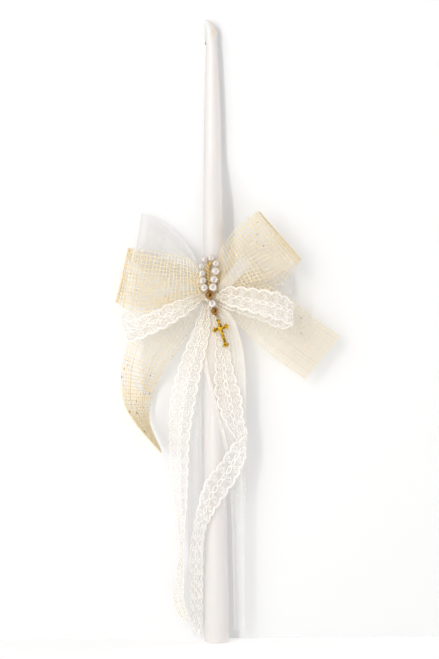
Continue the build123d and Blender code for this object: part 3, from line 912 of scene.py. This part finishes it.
def gathered_waist():
    """Jute threads drawn together at the waist, with a fan of burlap behind the pearls."""
    low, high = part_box("burlap_waist")
    half = (high.x - low.x) / 2
    flare = (high.z - low.z) / 2
    tubes = Tubes()
    x = np.linspace(-half, half, 17)
    for i in range(WAIST_THREADS):
        turn = 2 * math.pi * i / WAIST_THREADS + 0.12 * slow_wave(x, 0.006, 900 + i)
        radius = (flare - 0.25 * MM) * (0.5 + 0.5 * (x / half) ** 2) - 0.5 * MM * (i % 2)
        points, out = wheel(x, radius, turn)
        tubes.add(points, out, WAIST_THREAD, 0.45 + 0.1 * rng.standard_normal(), 0.8)

    for turn in np.radians(np.linspace(-FAN_TURN, FAN_TURN, FAN_THREADS)):
        end = FAN_REACH + 4 * MM * math.sin(turn) ** 2 + 0.8 * MM * rng.standard_normal()
        reach = np.linspace(FAN_START, end, 24)
        tubes.add(on_fan(turn, reach), (0, -1, 0), FAN_THREAD, 0.6 + 0.1 * rng.standard_normal(), 0.9)
    widest = math.radians(FAN_TURN + 4)
    for reach in np.arange(2 * FAN_START, FAN_REACH + 3 * MM, FAN_ROW_GAP):
        turn = np.linspace(-widest, widest, 40)
        turn = turn[FAN_REACH + 3 * MM * np.sin(turn) ** 2 > reach]
        for part in np.split(turn, np.nonzero(np.diff(turn) > 0.1)[0] + 1):
            if len(part) > 2:
                ray = reach + 0.25 * MM * slow_wave(part, 0.4, int(reach / MM * 10))
                points = on_fan(part, ray, FAN_CROSS_THREAD)
                tubes.add(points, (0, -1, 0), FAN_CROSS_THREAD, 0.5 + 0.1 * rng.standard_normal(), 0.9)
    stands_for(tubes.mesh("burlap_waist_threads", JUTE), "burlap_waist")


def on_fan(turn, reach, lift=0.0):
    """Points on the fan of burlap, at angles from upright and distances from the knot."""
    turn, reach = np.broadcast_arrays(turn, reach)
    y = FAN_BACK * reach - 1 * MM - 0.1 * reach * np.sin(turn) ** 2 - lift
    y = y + 0.35 * MM * np.sin(turn * 16) * np.minimum(reach / (8 * MM), 1)
    return KNOT + np.stack([reach * np.sin(turn), y, 1.5 * MM + reach * np.cos(turn)], axis=-1)


def wrapped_knot():
    """The lace wound over the waist: a barrel of thick and wavy cords."""
    low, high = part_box("lace_knot")
    half, top = (high.x - low.x) / 2, (high.z - low.z) / 2
    tubes = Tubes(6)
    turn = np.arange(28) * 2 * math.pi / 28
    for i in range(KNOT_RIBS):
        place = (i / (KNOT_RIBS - 1) - 0.5) * 2
        radius = (top - KNOT_CORD) * (1 - 0.1 * place**2) + 0.18 * MM * (i % 2)
        x = place * (half - 0.4 * MM) + 0.3 * MM * np.sin(turn + i)
        points, out = wheel(x, radius, turn)
        tubes.loop(points, out, KNOT_CORD, 0.5 + 0.3 * (i % 2), 0.8)
    stands_for(tubes.mesh("lace_knot_wrap", LACE_THREAD), "lace_knot")


def twisted_cord():
    """The gold cord: strands wound round each other along its smooth route."""
    line = smooth_rows(np.array(GOLD_CORD_ROUTE) * MM, STATION_STEPS)
    run = lengths_along(line)
    s = np.linspace(0, run[-1], max(16, int(run[-1] / CORD_PITCH * 14)))
    line = np.stack([np.interp(s, run, line[:, i]) for i in range(3)], axis=-1)
    along = unit(np.gradient(line, axis=0))
    side = unit(np.cross(along, (0, 1.0, 0.2)))
    out = np.cross(side, along)
    tubes = Tubes(6)
    for k in range(CORD_STRANDS):
        turn = (2 * math.pi * s / CORD_PITCH + 2 * math.pi * k / CORD_STRANDS)[:, None]
        ray = side * np.cos(turn) + out * np.sin(turn)
        tubes.add(line + CORD_TWIST_RADIUS * ray, ray, CORD_STRAND_RADIUS, 0.1 + 0.8 * (k % 2))
    stands_for(tubes.mesh("gold_cord_twist", GOLD_THREAD), "gold_cord")


def cast_cross():
    """The cross with its edges rounded as in a casting."""
    copy = new_object("cast_source", nodes["cross_pendant"].data.copy())
    remesh = copy.modifiers.new("remesh", "REMESH")
    remesh.mode = "VOXEL"
    remesh.voxel_size = CAST_VOXEL
    smooth = copy.modifiers.new("smooth", "SMOOTH")
    smooth.iterations = CAST_PASSES
    smooth.factor = 0.5
    bpy.context.view_layer.update()
    mesh = bpy.data.meshes.new_from_object(copy.evaluated_get(bpy.context.evaluated_depsgraph_get()))
    bpy.data.objects.remove(copy)
    mesh.name = "cross_casting"
    mesh.materials.clear()
    mesh.materials.append(GOLD)
    mesh.polygons.foreach_set("use_smooth", np.ones(len(mesh.polygons), bool))
    stands_for(new_object("cross_casting", mesh), "cross_pendant", "cross")


# ---------------------------------------------------------------- stage


def camera():
    """The camera in front of the candle, a little rolled."""
    data = bpy.data.cameras.new("camera")
    data.sensor_width = SENSOR
    data.lens = SENSOR * CAMERA_DISTANCE / VIEW_HEIGHT
    data.clip_start, data.clip_end = CAMERA_CLIP
    made = new_object("camera", data)
    up = Vector((math.sin(CAMERA_ROLL), 0, math.cos(CAMERA_ROLL)))
    forward = Vector((0, 1, 0))
    turn = Matrix((forward.cross(up), up, -forward)).transposed()
    made.matrix_world = Matrix.Translation(CAMERA_AIM - forward * CAMERA_DISTANCE) @ turn.to_4x4()
    bpy.context.scene.camera = made


def area_light(name, place, aim, size, power, colour=WHITE, height=None, gloss=1.0):
    """A soft light, square or, with a height, upright; gloss is its strength in reflections."""
    data = bpy.data.lights.new(name, "AREA")
    data.energy = power
    data.size = size
    if height:
        data.shape = "RECTANGLE"
        data.size_y = height
    data.color = colour
    data.specular_factor = gloss
    made = new_object(name, data)
    made.location = place
    made.rotation_euler = (Vector(aim) - Vector(place)).to_track_quat("-Z", "Y").to_euler()


def staged(name, points, faces, material, unseen=()):
    """A piece of the stage, which some kinds of ray pass by."""
    made = new_mesh(name, np.array(points), faces, material)
    for ray in unseen:
        setattr(made, "visible_" + ray, False)


def stage_floor():
    """The pale floor."""
    floor, shader = new_material("stage_floor", Roughness=0.9, Emission_Strength=FLOOR_GLOW)
    shader.inputs["Emission Color"].default_value = (*WHITE, 1)
    pale = ramp(floor, noise(floor, 4, 2), (0.3, (0.97, 0.97, 0.97)), (0.7, (0.98, 0.98, 0.98)))
    join(floor, pale, shader.inputs["Base Color"])
    points = [(x * FLOOR_HALF, y * FLOOR_HALF, 0) for x, y in ((-1, -1), (1, -1), (1, 1), (-1, 1))]
    staged("floor", points, [[0, 1, 2, 3]], floor)


def stage_card():
    """The card behind, which only the camera sees: upright behind the bow, and nearer above it."""
    card, shader = new_material("stage_card", Roughness=0.95, Specular_IOR_Level=0)
    shader.inputs["Base Color"].default_value = (CARD_WHITE, CARD_WHITE, CARD_WHITE, 1)
    behind = add_node(card, "ShaderNodeNewGeometry").outputs["Backfacing"]
    join(card, maths(card, "SUBTRACT", 1.0, behind), shader.inputs["Alpha"])
    z = np.linspace(0, CARD_HEIGHT, CARD_ROWS)
    part = np.clip((z - CARD_TURN) / CARD_RISE, 0, 1)
    y = CARD_PLACE + (CARD_TOP_PLACE - CARD_PLACE) * part * part * (3 - 2 * part)
    points = [(x, b, c) for b, c in zip(y, z) for x in (-CARD_HALF, CARD_HALF)]
    unseen = ("diffuse", "glossy", "transmission", "shadow", "volume_scatter")
    staged("backdrop", points, grid_faces(CARD_ROWS, 2), card, unseen)


def dark_card():
    """The dark card in front, which only reflections see: it gives the pearls and beads their dark spots."""
    dark, shader = new_material("stage_dark", Roughness=1.0)
    shader.inputs["Base Color"].default_value = (DARK_CARD_GREY, DARK_CARD_GREY, DARK_CARD_GREY, 1)
    (x0, z0), (x1, z1) = DARK_CARD
    points = [(x, DARK_CARD_PLACE, z) for x, z in ((x0, z0), (x1, z0), (x1, z1), (x0, z1))]
    staged("dark_card", points, [[0, 1, 2, 3]], dark, ("camera", "diffuse", "transmission", "shadow"))


def soft_world():
    """Soft light all round, stronger from behind, even in reflections and white to the camera."""
    world = bpy.data.worlds.new("world")
    bpy.context.scene.world = world
    world.use_nodes = True
    way = add_node(world, "ShaderNodeTexCoord").outputs["Generated"]
    depth = add_node(world, "ShaderNodeSeparateXYZ", {"Vector": way}).outputs["Y"]
    limits = {"From Min": -0.05, "From Max": 0.3, "To Min": WORLD_FRONT, "To Max": WORLD_BACK}
    strength = add_node(world, "ShaderNodeMapRange", {"Value": depth, **limits}).outputs["Result"]
    for ray, level in (("Is Glossy Ray", WORLD_GLOSS), ("Is Camera Ray", 1.0)):
        seen = add_node(world, "ShaderNodeLightPath").outputs[ray]
        inputs = {"Factor": seen, "A": strength, "B": level}
        strength = add_node(world, "ShaderNodeMix", inputs).outputs["Result"]
    background = world.node_tree.nodes["Background"]
    join(world, strength, background.inputs["Strength"])
    background.inputs["Color"].default_value = (*WHITE, 1)


def stage():
    """Pale floor, a card behind the candle that only catches its shadow, and soft light."""
    stage_floor()
    stage_card()
    dark_card()
    soft_world()
    area_light("key", KEY_PLACE, KEY_AIM, KEY_SIZE, KEY_POWER, KEY_COLOUR, gloss=KEY_GLOSS)
    area_light("fill", FILL_PLACE, FILL_AIM, FILL_SIZE, FILL_POWER)
    area_light("bounce", BOUNCE_PLACE, BOUNCE_AIM, BOUNCE_SIZE, BOUNCE_POWER)
    area_light("strip", STRIP_PLACE, STRIP_AIM, STRIP_WIDTH, STRIP_POWER, height=STRIP_HEIGHT)
    scene = bpy.context.scene
    scene.view_settings.view_transform = "Standard"
    scene.cycles.transparent_max_bounces = 24
    scene.cycles.max_bounces = 12
    scene.cycles.diffuse_bounces = 8


# ---------------------------------------------------------------- build

# Threads and nets: the stops run from the warmest or darkest, at a tone of 0, to the palest, at 1, but the
# tulle's last stop is a painted shade, greyer than its middle one
JUTE = thread_material(
    "jute",
    [(0.0, (0.66, 0.49, 0.25)), (0.4, (0.86, 0.73, 0.48)), (1.0, (0.97, 0.91, 0.75))],
    speck=(0.22, 0.12, 0.05),
)
LACE_THREAD = thread_material(
    "lace_thread",
    [(0.0, (0.90, 0.83, 0.68)), (0.5, (0.91, 0.875, 0.80)), (1.0, (0.94, 0.91, 0.88))],
    speck=(0.9, 0.85, 0.7),
)
# Painted shade: the lace net is greyer than its cords, for the shade seen through and under it, and browner
# near the knot, for the shaded jute behind it.
LACE_NET_PAINTED_SHADE = net_material(
    "lace_net_painted_shade",
    [(0.0, (0.77, 0.70, 0.56)), (0.5, (0.80, 0.75, 0.68)), (1.0, (0.80, 0.77, 0.74))],
    pitch=0.9 * MM,
    line=0.1,
    cover=0.1,
    warm_cover=0.15,
    flowers=True,
)
# The tulle is white; its colours are painted light: the cream at a tone of 0 is painted warm light reflected
# from the jute near the knot, and the grey at a tone of 1 is painted shade.
TULLE_NET_PAINTED_LIGHT = net_material(
    "tulle_net_painted_light",
    [(0.0, (0.90, 0.82, 0.68)), (0.5, (0.87, 0.835, 0.79)), (1.0, (0.76, 0.745, 0.735))],
    pitch=1.1 * MM,
    line=0.14,
    cover=0.2,
    warm_cover=0.4,
)
GOLD_THREAD = thread_material(
    "gold_thread",
    [(0.0, (0.50, 0.30, 0.07)), (1.0, (0.95, 0.78, 0.36))],
    speck=(0.3, 0.15, 0.03),
    roughness=0.4,
    sheen=0.1,
)
PLAIN_THREAD = thread_material(
    "plain_thread", [(0.0, (0.6, 0.45, 0.25)), (1.0, (0.8, 0.68, 0.5))], speck=(0.5, 0.3, 0.1)
)
WICK_THREAD = thread_material(
    "wick_thread", [(0.0, (0.30, 0.17, 0.08)), (1.0, (0.45, 0.30, 0.17))], speck=(0.3, 0.15, 0.03)
)
COPPER = metal_material("copper_gold", (0.46, 0.24, 0.08), (0.34, 0.16, 0.05), roughness=0.14, pit_size=900)
GOLD = cast_material()
STEEL = metal_material("florist_steel", (0.55, 0.55, 0.55), (0.4, 0.4, 0.4), roughness=0.35, pit_size=2500)
PEARL = pearl_material()
WAX = wax_material()

for node, material in (
    ("candle_body", WAX),
    ("wick", WICK_THREAD),
    ("florist_wire", STEEL),
    ("bead_thread", PLAIN_THREAD),
    ("drop_thread", PLAIN_THREAD),
    ("drop_pearl", PEARL),
    ("gold_bead_upper", COPPER),
    ("gold_bead_lower", COPPER),
    ("drop_pin", GOLD),
    *((n, PEARL) for n in nodes if n.startswith("pearl_")),
):
    nodes[node].data.materials.clear()
    nodes[node].data.materials.append(material)

# The last two numbers of each burlap are its cell lengths at the knot and at the far end
burlap("burlap_loop_left", BURLAP_LOOP_LEFT, 11, 2.7 * MM, 2.7 * MM)
burlap("burlap_loop_right", BURLAP_LOOP_RIGHT, 12, 2.7 * MM, 2.7 * MM)
burlap("burlap_tail_left", BURLAP_TAIL_LEFT, 13, 2.8 * MM, 2.2 * MM, leans=True)
burlap("burlap_tail_right", BURLAP_TAIL_RIGHT, 14, 2.9 * MM, 1.4 * MM, leans=True)
# The three tones of each lace and tulle are at the knot, halfway and at the far end. A low, cream tone at
# the knot is painted warm light, and the tulle's grey at a tone of 1 is painted shade.
lace("lace_loop_left", LACE_LOOP_LEFT, 21, (0.2, 0.8, 0.4))
lace("lace_loop_right", LACE_LOOP_RIGHT, 22, (0.2, 0.8, 0.4))
lace("lace_tail_left", LACE_TAIL_LEFT, 23, (0.2, 0.9, 0.3))
lace("lace_tail_right", LACE_TAIL_RIGHT, 24, (0.2, 0.9, 0.8))
tulle("tulle_loop_left", TULLE_LOOP_LEFT, 31, 2, 32 * MM, (0.8, 1.0, 0.8))
tulle("tulle_loop_right", TULLE_LOOP_RIGHT, 32, 2, 22 * MM, (0.6, 0.9, 0.8))
tulle("tulle_tail_left", TULLE_TAIL_LEFT, 33, 2, 12 * MM, (0.6, 1.0, 1.0))
tulle("tulle_tail_right", TULLE_TAIL_RIGHT, 34, 3, 22 * MM, (0.1, 0.7, 1.0))
lace("lace_band", band_stations(), 25, (0.4, 0.6, 0.4), gathered=1.0)
tulle("tulle_fold", TULLE_FOLD, 35, 1, 10 * MM, (0.8, 1.0, 1.0), in_cad=False)
gathered_waist()
wrapped_knot()
twisted_cord()
cast_cross()

camera()
stage()
